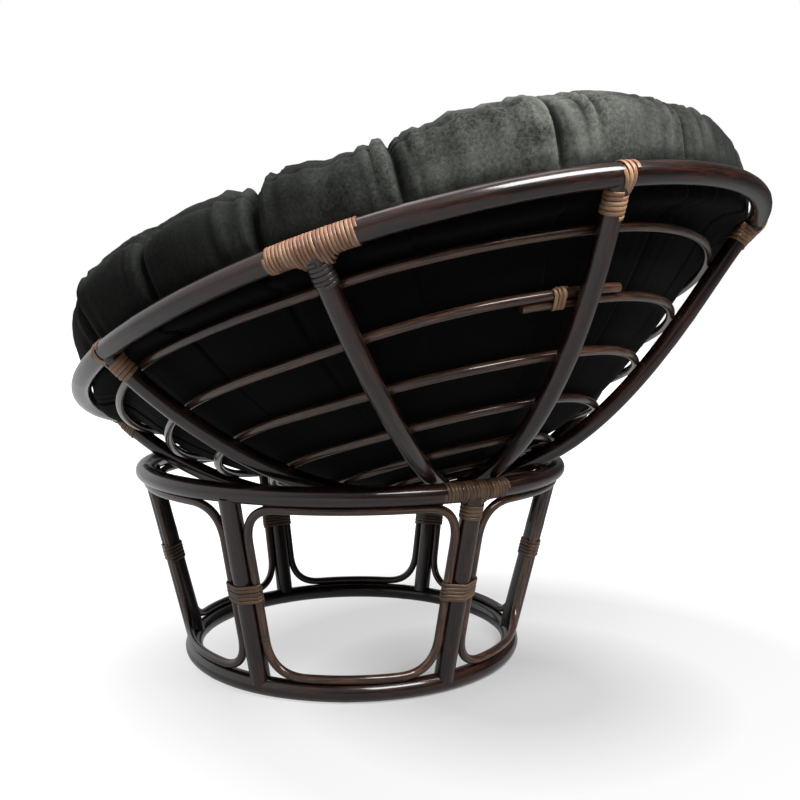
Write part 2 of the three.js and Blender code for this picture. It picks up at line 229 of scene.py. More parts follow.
# Gloss sees a studio that is white overhead and on the camera's left, and dim on its right. The
# camera sees a white backdrop, and other light a faint one.
world = bpy.data.worlds.new("studio")
world.use_nodes = True
bpy.context.scene.world = world
studio = Nodes(world.node_tree)
brightest_way = (-camera_right[0], -camera_right[1], 0.55)
way = studio.node("ShaderNodeTexCoord", {}, "Generated")
glow = studio.ramp(studio.vectors("DOT_PRODUCT", way, brightest_way, "Value"), -0.5, 0.95)
faint, walls, backdrop = (
    studio.node("ShaderNodeBackground", {"Color": (1, 1, 1, 1), "Strength": strength})
    for strength in (0.09, glow ** 1.6 * 0.74 + 0.05, 1.0))
unseen = studio.either(studio.ray("Glossy"), faint, walls)
studio.end(studio.either(studio.ray("Camera"), unseen, backdrop), "World Output", "Surface")


def lamp(name, place, target, size, watts):
    light = bpy.data.lights.new(name, "AREA")
    light.shape = "RECTANGLE"
    light.size, light.size_y = size
    light.energy = watts
    thing = put(name, light)
    thing.location = place
    thing.rotation_euler = aimed(Vector(target) - Vector(place))


lamp("lamp_above", (-0.1, -0.4, 2.9), (0, 0, 0.5), (1.8, 1.8), 18)
lamp("lamp_key", (0.36, 1.62, 2.2), (0, 0, 0.7), (1.5, 1.0), 88)


# Rattan poles: solid stems of palm cane, bent by steam, stained nearly black over a red-brown
# ground and lacquered. One tree of nodes runs a round or flat section along any path.
def lacquered(name, slot, deep, warm, gloss):
    """Wood in two stains, streaked along the pole, with darker fibres, under clear lacquer."""
    finish = Finish(name, slot, Coat_Weight=1.0, Coat_Roughness=0.12, Coat_IOR=1.5,
                    Specular_IOR_Level=0.2)
    place, _ = finish.strand_place()
    streaks = finish.speckle(place, 3.0, 6.0, 0.7, (1, 1, 7))
    fibres = finish.speckle(place, 13.0, stretch=(1, 1, 2.6))
    clouds = finish.speckle(place, 1.0, 2.0, stretch=(0.3, 0.3, 9))
    warmth = finish.ramp(streaks * 0.7 + clouds * 0.3, 0.46, 0.57)
    ground = finish.blend(warmth, plain(deep), plain(warm))
    fibre_share = finish.ramp(fibres, 0.6, 0.44) * 0.6
    finish.drive(Base_Color=finish.blend(fibre_share, ground, plain([c * 0.4 for c in deep])),
                 Roughness=finish.ramp(clouds, 0.3, 0.7) * 0.14 + gloss,
                 Normal=finish.dent(fibres * 0.6 + streaks * 0.4, 0.0012, 0.3))
    return finish


dark_rattan = lacquered("rattan_dark_lacquer", "rattan_dark", (29, 13, 11), (66, 33, 22), 0.3)
slim_rattan = lacquered("rattan_slim_lacquer", "rattan_slim", (58, 38, 30), (132, 90, 66), 0.34)


def sweep_tree():
    """Runs a section along the edges of a mesh, which carry facing, girth and along."""
    tree = bpy.data.node_groups.new("sweep", "GeometryNodeTree")
    for name, kind in (("Path", "Geometry"), ("Half depth", "Float"), ("Half width", "Float"),
                       ("Sides", "Int"), ("Finish", "Material")):
        tree.interface.new_socket(name, in_out="INPUT", socket_type="NodeSocket" + kind)
    tree.interface.new_socket("Piece", in_out="OUTPUT", socket_type="NodeSocketGeometry")
    inputs = tree.nodes.new("NodeGroupInput").outputs
    node = Nodes(tree).node

    def given(name):
        return Wire(tree, inputs[name])

    def named(name, kind):
        return node("GeometryNodeInputNamedAttribute", {"Name": name}, data_type=kind)

    circle = node("GeometryNodeCurvePrimitiveCircle", {"Resolution": given("Sides"), "Radius": 1.0})
    where = node("GeometryNodeInputPosition", {})
    marked = node("GeometryNodeStoreNamedAttribute",
                  {"Geometry": circle, "Name": "round", "Value": where},
                  data_type="FLOAT_VECTOR", domain="POINT")
    size = node("ShaderNodeCombineXYZ", {0: given("Half depth"), 1: given("Half width"), 2: 1.0})
    section = node("GeometryNodeTransform", {"Geometry": marked, "Scale": size})
    curve = node("GeometryNodeMeshToCurve", {"Mesh": given("Path")})
    faced = node("GeometryNodeSetCurveNormal",
                 {"Curve": curve, "Normal": named("facing", "FLOAT_VECTOR")}, mode="FREE")
    tube = node("GeometryNodeCurveToMesh",
                {"Curve": faced, "Profile Curve": section, "Scale": named("girth", "FLOAT"),
                 "Fill Caps": True})
    smooth = node("GeometryNodeSetShadeSmooth", {"Geometry": tube})
    real = node("GeometryNodeRealizeInstances", {"Geometry": smooth})
    dressed = node("GeometryNodeSetMaterial", {"Geometry": real, "Material": given("Finish")})
    tree.links.new(dressed.socket, tree.nodes.new("NodeGroupOutput").inputs[0])
    return tree


sweep = sweep_tree()
sweep_sockets = {item.name: item.identifier for item in sweep.interface.items_tree}
round_section = (1.0, 1.0)


def swept(name, body, replaced, finish, places, facings, girths, closed, section, sides):
    """A plain mesh with a section run along a path. Section is half its depth and half its width,
    and the girths scale it."""
    mesh = bpy.data.meshes.new(name)
    last = len(places)
    edges = [(i, (i + 1) % last) for i in range(last if closed else last - 1)]
    mesh.from_pydata(places, edges, [])
    run = [0.0]
    for a, b in zip(places, places[1:]):
        run.append(run[-1] + (b - a).length)
    facing = mesh.attributes.new("facing", "FLOAT_VECTOR", "POINT")
    facing.data.foreach_set("vector", [c for v in facings for c in v])
    for attribute, values in (("girth", girths), ("along", run)):
        mesh.attributes.new(attribute, "FLOAT", "POINT").data.foreach_set("value", values)
    thing = put(name, mesh)
    modifier = thing.modifiers.new("sweep", "NODES")
    modifier.node_group = sweep
    for socket, value in (("Half depth", section[0]), ("Half width", section[1]), ("Sides", sides),
                          ("Finish", finish.material)):
        modifier[sweep_sockets[socket]] = value
    evaluated = thing.evaluated_get(bpy.context.evaluated_depsgraph_get())
    result = bpy.data.meshes.new_from_object(evaluated)
    thing.modifiers.remove(modifier)
    thing.data = result
    result.name = name
    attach(thing, body)
    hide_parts(replaced)


class Line:
    """The centre line of a pole: place(t) and a direction across it, outward(t)."""

    def __init__(self, place, outward, start, end, closed=False):
        self.place = place
        self.outward = outward
        self.start = start
        self.end = end
        self.closed = closed
        self.step = (end - start) / 1000

    def axes(self, t):
        """The point at t, and the directions along the line, outwards and across both."""
        along = (self.place(t + self.step) - self.place(t - self.step)).normalized()
        outward = self.outward(t)
        outward = (outward - along * outward.dot(along)).normalized()
        return self.place(t), along, outward, along.cross(outward)

    def speed(self, t):
        """Metres of line for each unit of t."""
        return (self.place(t + self.step) - self.place(t - self.step)).length / (2 * self.step)


def knuckles(radius, seed):
    """A pole's radius along its length: it swells a little at each old leaf node."""
    longest, knuckle_width = 9.0, 0.006
    places = []
    at = 0.09 + 0.11 * noise.random_unit_vector().x ** 2
    while at < longest:
        places.append(at)
        at += 0.24 + 0.06 * noise.noise(Vector((seed, at, 0)))

    def radius_at(distance):
        nearest = min(abs(distance - p) for p in places)
        wander = 0.006 * noise.noise(Vector((seed, distance * 9, 3)))
        return radius * (1 + wander + 0.022 * bell(nearest, knuckle_width))

    return radius_at


noise.seed_set(7)


def pole(name, body, replaced, finish, line, diameter, stations, sides, seed, taper=None):
    """A round pole. Taper gives its thickness along the line, as a share."""
    radius_at = knuckles(diameter / 2, seed)
    places, facings, girths = [], [], []
    run = 0.0
    for i in range(stations if line.closed else stations + 1):
        t = line.start + (line.end - line.start) * i / stations
        centre, _, outward, _ = line.axes(t)
        if places:
            run += (centre - places[-1]).length
        places.append(centre)
        facings.append(outward)
        girths.append(radius_at(run) * (taper(t) if taper else 1.0))
    swept(name, body, replaced, finish, places, facings, girths, line.closed, round_section, sides)


# Stand rings: two level hoops of the thick pole, each bent round and scarfed to itself. The
# upper one carries the bowl and the lower one stands on the floor.
stand_pole = 0.028
stand_middle = Vector((0, -0.129654, 0))
top_ring_radius, top_ring_height = 0.341, 0.310
bottom_ring_radius, bottom_ring_height = 0.267, 0.014


def ring_line(radius, height):
    return Line(lambda a: stand_middle + around(a, radius, height), lambda a: around(a, 1, 0),
                0, turn, True)


top_line = ring_line(top_ring_radius, top_ring_height)
bottom_line = ring_line(bottom_ring_radius, bottom_ring_height)
pole("top_ring", "stand", "stand_top_ring", dark_rattan, top_line, stand_pole, 240, 24, 1.0)
pole("bottom_ring", "stand", "stand_bottom_ring", dark_rattan, bottom_line, stand_pole, 240,
     24, 2.0)


# Legs: six thick straight poles, leaning outwards, coped to the rings at both ends and nailed.
# The visual's ends run a little way into the rings, so that no gap shows.
leg_pole = 0.030
leg_trim = 0.006
leg_angles = [math.radians(14.5 + 60 * i) for i in range(6)]


def leg_line(angle, trim=0.0):
    foot = stand_middle + around(angle, bottom_ring_radius, bottom_ring_height)
    head = stand_middle + around(angle, top_ring_radius, top_ring_height)
    upward = (head - foot).normalized()
    length = (head - foot).length
    return Line(lambda d: foot + upward * d, lambda d: around(angle + turn / 4, 1, 0),
                trim, length - trim)


for i, angle in enumerate(leg_angles):
    pole(f"leg_pole_{i + 1}", "stand", f"leg_{i + 1}", dark_rattan, leg_line(angle, leg_trim),
         leg_pole, 60, 24, 10.0 + i)


# Panel loops: a slim pole bent into a rounded frame that fills the bay between two legs. It
# lies against both legs and under the upper ring.
panel_pole = 0.013
panel_corner = 0.055
beside_leg, from_ring = 0.0207, 0.0198
corner_steps, straight_steps = 16, 12
stand_rise = top_ring_height - bottom_ring_height
stand_flare = top_ring_radius - bottom_ring_radius


def cone_radius(height):
    return bottom_ring_radius + stand_flare * (height - bottom_ring_height) / stand_rise


def panel_path():
    """The loop, unrolled from the stand's cone: how far from the bay's middle, and how high."""
    low = bottom_ring_height + from_ring
    high = top_ring_height - from_ring

    def corner(side, height):
        radius = cone_radius(height)
        return Vector((side * radius * (math.pi / 6 - math.asin(beside_leg / radius)), height))

    corners = [corner(-1, low), corner(1, low), corner(1, high), corner(-1, high)]
    path = []
    for i, at in enumerate(corners):
        following = corners[(i + 1) % 4]
        before = at + (corners[i - 1] - at).normalized() * panel_corner
        after = at + (following - at).normalized() * panel_corner
        for k in range(corner_steps + 1):
            s = k / corner_steps
            path.append(before * (1 - s) ** 2 + at * (2 * s * (1 - s)) + after * s ** 2)
        stop = following + (at - following).normalized() * panel_corner
        for k in range(1, straight_steps):
            path.append(after.lerp(stop, k / straight_steps))
    return path


panel_points = panel_path()
for i, angle in enumerate(leg_angles):
    bay = angle + turn / 12
    places, facings = [], []
    for x, height in panel_points:
        radius = cone_radius(height)
        places.append(stand_middle + around(bay + x / radius, radius, height))
        facings.append(around(bay + x / radius, stand_rise, -stand_flare).normalized())
    swept(f"panel_frame_{i + 1}", "stand", f"panel_loop_{i + 1}", slim_rattan, places, facings,
          [panel_pole / 2] * len(places), True, round_section, 16)


# Cane bindings on the stand: strands of split peel, flat inside and rounded outside, wound
# tightly round each leg and its neighbours, and round the joint in the upper ring.
def peel(name, slot, light, other, dark, gloss):
    """Split cane: two tones that change from turn to turn, with stained patches and fibres."""
    finish = Finish(name, slot, Coat_Weight=0.35, Coat_Roughness=0.22)
    place, lengthwise = finish.strand_place()
    fibres = finish.speckle(place, 4.0, 4.0, stretch=(1, 1.6, 5))
    tones = finish.speckle(lengthwise, 11.0, 1.0)
    patches = finish.speckle(place, 1.0, stretch=(0.1, 0.1, 18))
    ground = finish.blend(finish.ramp(tones, 0.42, 0.58), plain(light), plain(other))
    stain = finish.ramp(patches * 0.5 + fibres * 0.5, 0.56, 0.36) * 0.85
    finish.drive(Base_Color=finish.blend(stain, ground, plain(dark)),
                 Roughness=finish.ramp(fibres, 0.3, 0.7) * 0.2 + gloss,
                 Normal=finish.dent(fibres, 0.0008, 0.5))
    return finish


dark_peel = peel("cane_stained_peel", "cane_dark", (128, 98, 68), (98, 72, 54), (46, 32, 26), 0.36)
cane_width, cane_pitch, cane_thickness = 0.0054, 0.0056, 0.0018
turn_steps = 28


def wound(name, body, replaced, finish, line, middle, turns, bundle, seed, slack=0.0,
          pull=(0.0, 0.0, 1.0), pitch=cane_pitch, lean=0.0, close=0.0):
    """A strand wound round poles that lie side by side: bundle holds (shift, radius) pairs. Slack
    is how much further out it lies, and lean how far it is moved along the line. Where another
    pole butts against them, pull says to which side, how far and over what length the strand is
    drawn out round it. Close is how far its turns come together on that side."""
    side, far, half_span = pull
    side_width = 0.6
    places, ways = [], []
    for i in range(turns * turn_steps + 1):
        wraps = i / turn_steps
        spin = turn * i / turn_steps
        nearer = 1 - close * (1 + math.cos(spin - side)) / 2
        off = pitch * (wraps - turns / 2) * nearer + lean
        centre, along, outward, across = line.axes(middle + off / line.speed(middle))
        out = outward * math.cos(spin) + across * math.sin(spin)
        shift, radius = max(bundle, key=lambda pair: pair[0] * math.cos(spin) + pair[1])
        beside = math.remainder(spin - side, turn)
        drawn = far * bell(beside, side_width) * bell(off - lean, half_span, 4)
        wander = 0.0007 * noise.noise(Vector((seed, wraps * 2.3, 0)))
        lifted = radius + slack + drawn + cane_thickness * 0.4
        lifted += 0.0004 * noise.noise(Vector((seed, wraps * 1.7, 5)))
        places.append(centre + outward * shift + out * lifted + along * wander)
        ways.append(along)
    last = len(places) - 1
    facings = [(places[min(last, i + 1)] - places[max(0, i - 1)]).cross(ways[i]).normalized()
               for i in range(last + 1)]
    section = (cane_thickness / 2, min(cane_width, pitch * 0.965) / 2)
    swept(name, body, replaced, finish, places, facings, [1.0] * len(places), False, section, 10)


leg_bundle = [(0, leg_pole / 2), (beside_leg, panel_pole / 2), (-beside_leg, panel_pole / 2)]
for i, angle in enumerate(leg_angles):
    line = leg_line(angle)
    wound(f"leg_cane_{i + 1}", "stand", f"leg_binding_{i + 1}", dark_peel, line, line.end / 2, 5,
          leg_bundle, 20.0 + i, 0.0006)
for i in (1, 4):
    line = leg_line(leg_angles[i])
    wound(f"leg_head_cane_{i + 1}", "stand", f"leg_top_lashing_{i + 1}", dark_peel, line,
          line.end - 0.030, 4, [(0, leg_pole / 2)], 30.0 + i)
leg_side = math.radians(104)
wound("top_ring_cane", "stand", "stand_top_ring_binding", dark_peel, top_line, leg_angles[1], 19,
      [(0, stand_pole / 2)], 40.0, -0.0007, (leg_side, 0.009, 0.018))


# Bowl rim: one thick pole bent into an oval hoop, longest from the low front to the high
# back, with its ends scarfed together under a long binding.
rim_pole, rib_pole, hub_pole, ring_pole = 0.028, 0.026, 0.022, 0.0125
rim_half_length, rim_half_width, bowl_depth = 0.5425, 0.4915, 0.2665
bowl_radius = (rim_half_length ** 2 + bowl_depth ** 2) / (2 * bowl_depth)
rim_drop = bowl_radius - bowl_depth
draw_share = 1 - rim_half_width / rim_half_length
rim_angle = math.asin(rim_half_length / bowl_radius)
tilt_axis, tilt = Vector((0, -0.129654, 0.936203)), math.radians(18.7)
bowl_place = Matrix.Translation(tilt_axis) @ Matrix.Rotation(tilt, 4, "X")
bowl_turn = bowl_place.to_3x3()
rib_places = [math.radians(p) for p in (29, 78, 120, 158, 207, 256, 301, 345)]
rib_flats = (0, 0.019, 0.010, 0.008, 0.025, 0.016, 0.004, 0)
flat_from, flat_shape = math.radians(14), 1.75


def at_ribs(values, place):
    """The value at a place between two ribs, for values that are given at the ribs."""
    at = (place - rib_places[0]) % turn + rib_places[0]
    after = next((i for i, rib in enumerate(rib_places) if rib > at), 0)
    span = (rib_places[after] - rib_places[after - 1]) % turn
    way = ((at - rib_places[after - 1]) % turn) / span
    return values[after - 1] + (values[after] - values[after - 1]) * ease(way)


def flat_lift(radius, place):
    """How much higher the shell is there than the sphere, because its ribs are flatter."""
    angle = math.asin(radius / bowl_radius)
    way = clamp((angle - flat_from) / (rim_angle - flat_from))
    peak = flat_shape / (flat_shape + 1)
    share = (way / peak) ** flat_shape * (1 - way) / (1 - peak)
    return at_ribs(rib_flats, place) * share / math.cos(angle)


def rim_way(place, radius, height):
    """A point or direction in the bowl's own frame, by its place round the rim."""
    return around(place - turn / 4, radius, height)


def shell_local(radius, place):
    """A point of the shell on which the ribs' centre lines lie, in the bowl's own frame."""
    drawn = 1 - draw_share * (radius / rim_half_length) ** 5 * math.sin(place) ** 2
    height = flat_lift(radius, place) - math.sqrt(bowl_radius ** 2 - radius ** 2)
    return rim_way(place, radius * drawn, height)


def shell_outward(radius, place):
    at = shell_local(radius, place)
    up_slope = shell_local(radius + 0.001, place) - at
    onward = shell_local(radius, place + math.radians(1)) - at
    return onward.cross(up_slope).normalized()


def shell_inside(radius, place, inset):
    return shell_local(radius, place) - shell_outward(radius, place) * inset


def shell_place(radius, place, inset=0.0):
    return bowl_place @ shell_inside(radius, place, inset)


rim_line = Line(lambda p: shell_place(rim_half_length, p), lambda p: bowl_turn @ rim_way(p, 1, 0),
                0, turn, True)
pole("rim_pole", "bowl", "bowl_rim", dark_rattan, rim_line, rim_pole, 320, 24, 3.0)


# Ribs and hub: eight curved poles run from the rim down to a small hoop at the bottom of the
# bowl. Each is tapered at its foot and nailed to both.
hub_radius = 0.048
hub_angle = math.asin(hub_radius / bowl_radius)
foot_share, taper_angle = 0.82, 0.08


def rib_line(place):
    return Line(lambda a: shell_place(bowl_radius * math.sin(a), place),
                lambda a: bowl_turn @ shell_outward(bowl_radius * math.sin(a), place),
                hub_angle, rim_angle)


def rib_taper(a):
    return min(1.0, foot_share + (1 - foot_share) * (a - hub_angle) / taper_angle)


for i, place in enumerate(rib_places):
    pole(f"rib_pole_{i + 1}", "bowl", f"rib_{i + 1}", dark_rattan, rib_line(place), rib_pole,
         90, 24, 50.0 + i, rib_taper)
hub_line = Line(lambda p: shell_place(hub_radius, p),
                lambda p: bowl_turn @ shell_outward(hub_radius, p), 0, turn, True)
pole("hub_hoop", "bowl", "bowl_hub", dark_rattan, hub_line, hub_pole, 72, 20, 60.0)


# Shell rings: slim poles bent into hoops that lie across the insides of the ribs and carry the
# cushion. The second is open, and its ends pass each other under a short binding.
ring_radii = (0.494, 0.427, 0.353, 0.276, 0.193, 0.105)
ring_drops = (0, 0, 0, 0.002, 0.028, 0.0084, 0, 0)
ring_inset = 0.0185
open_ring = 1
open_radius = ring_radii[open_ring]
lap_from = math.radians(147.5)
lap_length = 2 * turn / 37
lap_shift = 0.0131


def shell_ring_line(radius_at, start, end, closed):
    return Line(lambda p: shell_place(radius_at(p), p, ring_inset),
                lambda p: bowl_turn @ shell_outward(radius_at(p), p), start, end, closed)


def ring_at(radius, place):
    """A ring's radius there: it runs lower on the ribs that are listed with a drop."""
    return radius - at_ribs(ring_drops, place)


lap_slope = (shell_place(open_radius + 0.001, lap_from)
             - shell_place(open_radius, lap_from)).length / 0.001


def lapped_radius(place):
    """The open ring climbs by the lap's shift over its last sixth, from half a shift lower."""
    share = clamp((place - lap_from - turn * 5 / 6) / (turn / 6))
    return ring_at(open_radius, place) + lap_shift / lap_slope * (ease(share) - 0.5)


for i, radius in enumerate(ring_radii):
    if i == open_ring:
        line = shell_ring_line(lapped_radius, lap_from, lap_from + turn + lap_length, False)
    else:
        line = shell_ring_line(lambda p, r=radius: ring_at(r, p), 0, turn, True)
    pole(f"shell_hoop_{i + 1}", "bowl", f"shell_ring_{i + 1}", slim_rattan, line, ring_pole,
         60 + int(radius * 400), 16, 70.0 + i)


# Cane lashings on the bowl: peel left its own tan colour, wound round the top of each rib and
# passed over the rim in straps beside it, and wound round the rim's long joint. A darker one is
# under the joint, and a short one holds the lap of the open ring.
tan_peel = peel("cane_natural_peel", "cane_tan", (204, 168, 126), (178, 122, 94), (104, 70, 52),
                0.34)
pink_peel = peel("cane_joint_peel", "cane_tan", (206, 166, 130), (168, 112, 88), (98, 62, 50), 0.34)
black_peel = peel("cane_black_peel", "cane_dark", (70, 62, 62), (58, 46, 46), (30, 20, 20), 0.26)
joint_rib, joint_turns, solid_turns = 2, 24, 19
strap_pitch, strap_close = 0.0074, 0.6
strap_leans = (0, -0.004, 0, 0.006, 0.006, 0, 0, 0)
lashing_gap = 0.0016
rib_side = math.radians(128)
rim_bundle, rib_bundle = [(0, rim_pole / 2)], [(0, rib_pole / 2)]
for i, place in enumerate(rib_places):
    line = rib_line(place)
    below = (rim_pole / 2 + lashing_gap + 3 * cane_pitch) / line.speed(rim_angle)
    if i == joint_rib:
        lashing_peel = black_peel
        wound("rim_joint_cane", "bowl", "rim_joint_binding", pink_peel, rim_line, place,
              joint_turns, rim_bundle, 82.0, 0.0, (rib_side, 0.014, 0.020),
              cane_pitch * solid_turns / joint_turns)
    else:
        lashing_peel = tan_peel
        wound(f"rim_cane_{i + 1}", "bowl", f"rim_lashing_{i + 1}", tan_peel, rim_line, place, 3,
              rim_bundle, 80.0 + i, 0.0, (rib_side, 0.009, 1.0), strap_pitch, strap_leans[i],
              strap_close)
    wound(f"rib_cane_{i + 1}", "bowl", f"rib_lashing_{i + 1}", lashing_peel, line,
          rim_angle - below, 5, rib_bundle, 90.0 + i)


def up_lap(place):
    radius = ring_at(open_radius, place)
    return bowl_turn @ (shell_local(radius + 0.001, place) - shell_local(radius, place))


lap_line = Line(lambda p: shell_place(ring_at(open_radius, p), p, ring_inset), up_lap, 0, turn)
wound("lap_cane", "bowl", "ring_lap_binding", tan_peel, lap_line, math.radians(154.2), 3,
      [(-lap_shift / 2, ring_pole / 2), (lap_shift / 2, ring_pole / 2)], 99.0, 0.0005)


# Cushion: one round cover of short-napped suede cloth over fibre filling. Seams gather it into
# segments, buttons tuft its top, and its edge rolls up over the rim, where the cloth falls in
# pleats beside the seams. The seams are held while the cloth between them is blown up.
cushion_inset = 0.0275
cushion_thickness, roll_height, roll_inset = 0.130, 0.119, 0.062
seat_height = cushion_thickness + cushion_inset - bowl_depth
starts_inside = 0.001
seam_count, seam_start = 18, math.radians(12)
seam_degrees = 360 / seam_count
seam_depth, scallop_depth, tuft_depth = 0.012, 0.005, 0.022
around_steps = 540


def under_row(radius):
    return lambda place: shell_inside(radius, place, cushion_inset)


def swell_row(radius):
    """The cloth swells out between the ribs, under the rim."""
    def point(place):
        near = min(abs(math.remainder(place - rib, turn)) for rib in rib_places)
        return shell_inside(radius, place, 0.003 + 0.013 * bell(near, math.radians(5)))
    return point


def upper_row(share, inset, height):
    def point(place):
        edge = rim_half_length * (1 - draw_share * math.sin(place) ** 2) - inset
        return rim_way(place, edge * share, height - rim_drop)
    return point


def roll_row(inset, height):
    return upper_row(1, roll_inset * inset, roll_height * height)


def top_row(share):
    return upper_row(share, roll_inset, seat_height + (roll_height - seat_height) * share ** 2)


# Each row: its points, how much the seams, the pleats and the buttons draw it, and the number of
# finer rows up to the next one
cushion_rows = [
    (under_row(0.0005), 0, 0, 0, 2),
    (under_row(0.105), 0, 0, 0, 3),
    (under_row(0.193), 0, 0, 0, 4),
    (under_row(0.276), 0, 0, 0, 4),
    (under_row(0.353), 0.1, 0, 0, 4),
    (under_row(0.427), 0.2, 0.1, 0, 4),
    (under_row(0.494), 0.3, 0.2, 0, 3),
    (swell_row(0.519), 0.2, 0.2, 0, 3),
    (upper_row(1, 0.0165, 0.004), 0.3, 0.3, 0, 5),
    (roll_row(0.16, 0.2), 0.6, 0.4, 0, 6),
    (roll_row(0.04, 0.42), 0.8, 0.6, 0, 6),
    (roll_row(0, 0.62), 0.9, 0.8, 0, 6),
    (roll_row(0.12, 0.8), 1, 1, 0, 5),
    (roll_row(0.42, 0.94), 1, 1, 0, 6),
    (roll_row(1, 1), 1, 0.8, 0, 8),
    (top_row(0.82), 0.8, 0.5, 0, 7),
    (top_row(0.68), 0.7, 0.5, 0.3, 6),
    (top_row(0.55), 0.7, 0.6, 1, 6),
    (top_row(0.43), 0.5, 0.4, 0.2, 5),
    (top_row(0.3), 0.35, 0.2, 0, 5),
    (top_row(0.18), 0.3, 0.2, 0.1, 4),
    (top_row(0.07), 0.3, 0, 0.8, 3),
    (top_row(0.001), 0, 0, 1, 0)]

# Levels on the way up, in rows of that table: where the cloth comes loose from the bowl, where
#  the underside's painted shade ends, where seams are held and pleats begin, the seam round the
#  roll with its depth and its painted shade, and the stretch on which the filling's fullness shows
loose_from, loose_over = 7.5, 1.5
underside_shade_to, held_from = 9.5, 9
pleats_from, pleats_over = 8, 5
ring_seam, ring_seam_depth, painted_ring_seam_shade = 12.4, 0.0034, 0.5
full_from, full_to, full_over = 8.5, 17, 3


def seam_at(place):
    """How far the seams pull a place in, in metres, in a sharp dip with a lip on its first side,
    how near it is to one, and how much painted light or shade it gets there: a painted
    highlight on the lip and painted shade in the dip."""
    off = math.degrees(math.remainder(place - seam_start, turn / seam_count))
    dip = seam_depth * (math.exp(-off / 0.9) if off > 0 else bell(off, 0.35))
    lip = 0.0028 * bell(off + 1.1, 0.7)
    scallop = scallop_depth * (1 - math.sin(abs(off) * math.pi / seam_degrees) ** 0.8)
    # Painted highlight on the lip and painted shade in the dip beside it
    painted_shade = 0.8 * bell(off + 0.9, 0.55) - 1.2 * bell(off - 0.35, 0.55)
    return dip - lip + scallop, bell(off, 0.9), painted_shade


# Pleats: seven beside each seam, at these degrees from it, so deep and so wide in degrees. Each
# is moved, deepened and widened a little, and slants, by a fixed row of random numbers.
seam_pleats = ((1.7, 0.0040, 0.45), (3.1, 0.0052, 0.55), (5.0, 0.0038, 0.7), (7.8, 0.0018, 1.1),
               (-2.3, 0.0034, 0.55), (-4.1, 0.0028, 0.7), (-6.6, 0.0016, 1.0))
noise.seed_set(11)
pleats = []
for i in range(seam_count):
    for offset, reach, width in seam_pleats:
        jitter = noise.random_unit_vector()
        pleats.append((math.degrees(seam_start) + seam_degrees * i + offset + 0.9 * jitter.x,
                       reach * (0.85 + 0.45 * jitter.y), width * (1 + 0.25 * jitter.z),
                       3.2 * jitter.x * jitter.y))


def pleat_at(place, height):
    """How far the pleats push a place out: each is a dip beside a fold, slanting up the roll."""
    out = 0.0
    for centre, reach, width, slant in pleats:
        x = math.remainder(math.degrees(place) - centre - slant * (1 - height), 360) / width
        if abs(x) < 3:
            out += reach * (x * 1.9 * math.exp(-x * x) + 0.25 * math.exp(-x * x / 3))
    return out


# How much fuller the filling is than on the far side, in millimetres, by degrees round the rim
fullness = ((26, 0), (40, -12), (54, -9), (66, 2), (76, 10), (86, 8), (96, 0), (106, -4),
            (112, -13), (118, -7), (124, -14), (129, -13), (132, -9), (136, -9), (142, -2),
            (152, 3), (158, 1), (172, -3), (182, -8), (190, -14), (202, -15), (215, -6), (230, 0))


def fullness_at(place):
    at = math.degrees(place) % 360
    for (low, first), (high, second) in zip(fullness, fullness[1:]):
        if low <= at < high:
            return (first + (second - first) * ease((at - low) / (high - low))) / 1000
    return 0.0


def tuft_at(place):
    """How far the buttons pull a place in: there is one on every other seam."""
    off = math.remainder(place - seam_start, 2 * turn / seam_count)
    return tuft_depth * bell(off, math.radians(5))


def spline(knots, i, t):
    """A point on the smooth curve through the knots, on the way from knot i to the next."""
    last = len(knots) - 1
    a, b, c, d = knots[max(0, i - 1)], knots[i], knots[i + 1], knots[min(last, i + 2)]
    bend = (a * 2 - b * 5 + c * 4 - d) * t ** 2
    return (b * 2 + (c - a) * t + bend + (b * 3 - a - c * 3 + d) * t ** 3) / 2


def cushion_column(place):
    """Points from under the middle of the cushion to the button on top of it, how far each is
    held, which is fully where it lies in the bowl and partly along the seams, whether it is on
    the underside, which is painted near black as shade, and how much painted light or shade
    its fold gets."""
    knots = [row[0](place) for row in cushion_rows]
    base, weights = [], []
    for i, (row, after) in enumerate(zip(cushion_rows, cushion_rows[1:])):
        for k in range(row[4]):
            t = k / row[4]
            base.append(spline(knots, i, t))
            weights.append([a + (b - a) * t for a, b in zip(row[1:4], after[1:4])] + [i + t])
    base.append(knots[-1])
    weights.append([0, 0, 1, len(knots) - 1])
    dip, crease, painted_seam_shade = seam_at(place)
    tuft, full, radial = tuft_at(place), fullness_at(place), rim_way(place, 1, 0)
    points, holds, underside_shades, painted_fold_shadings = [], [], [], []
    for k, (at, (seam, pleat, button, level)) in enumerate(zip(base, weights)):
        onward = base[min(k + 1, len(base) - 1)] - base[max(k - 1, 0)]
        outward = (radial * onward.z - Vector((0, 0, onward.dot(radial)))).normalized()
        loose = clamp((level - loose_from) / loose_over)
        depth = seam * dip + button * tuft + loose * starts_inside
        depth -= full * min(clamp((level - full_from) / full_over),
                            clamp((full_to - level) / full_over))
        painted_shade = seam * painted_seam_shade
        if pleat:
            raised = pleat * pleat_at(place, clamp((level - pleats_from) / pleats_over))
            depth -= raised
            # Painted light on each pleat's fold and painted shade in its dip
            painted_shade += raised / 0.0032
        if abs(level - ring_seam) < 0.05:
            depth += ring_seam_depth
            # Painted shade along the seam round the roll
            painted_shade -= painted_ring_seam_shade
        points.append(at - outward * depth)
        holds.append(max(1 - loose, 0.9 * crease if level > held_from else 0.0,
                         0.9 * button * tuft / tuft_depth))
        # Painted shade: the underside, below the roll, is painted near black
        underside_shades.append(clamp(underside_shade_to - level))
        painted_fold_shadings.append(clamp(0.5 + 0.5 * painted_shade))
    return points, holds, underside_shades, painted_fold_shadings


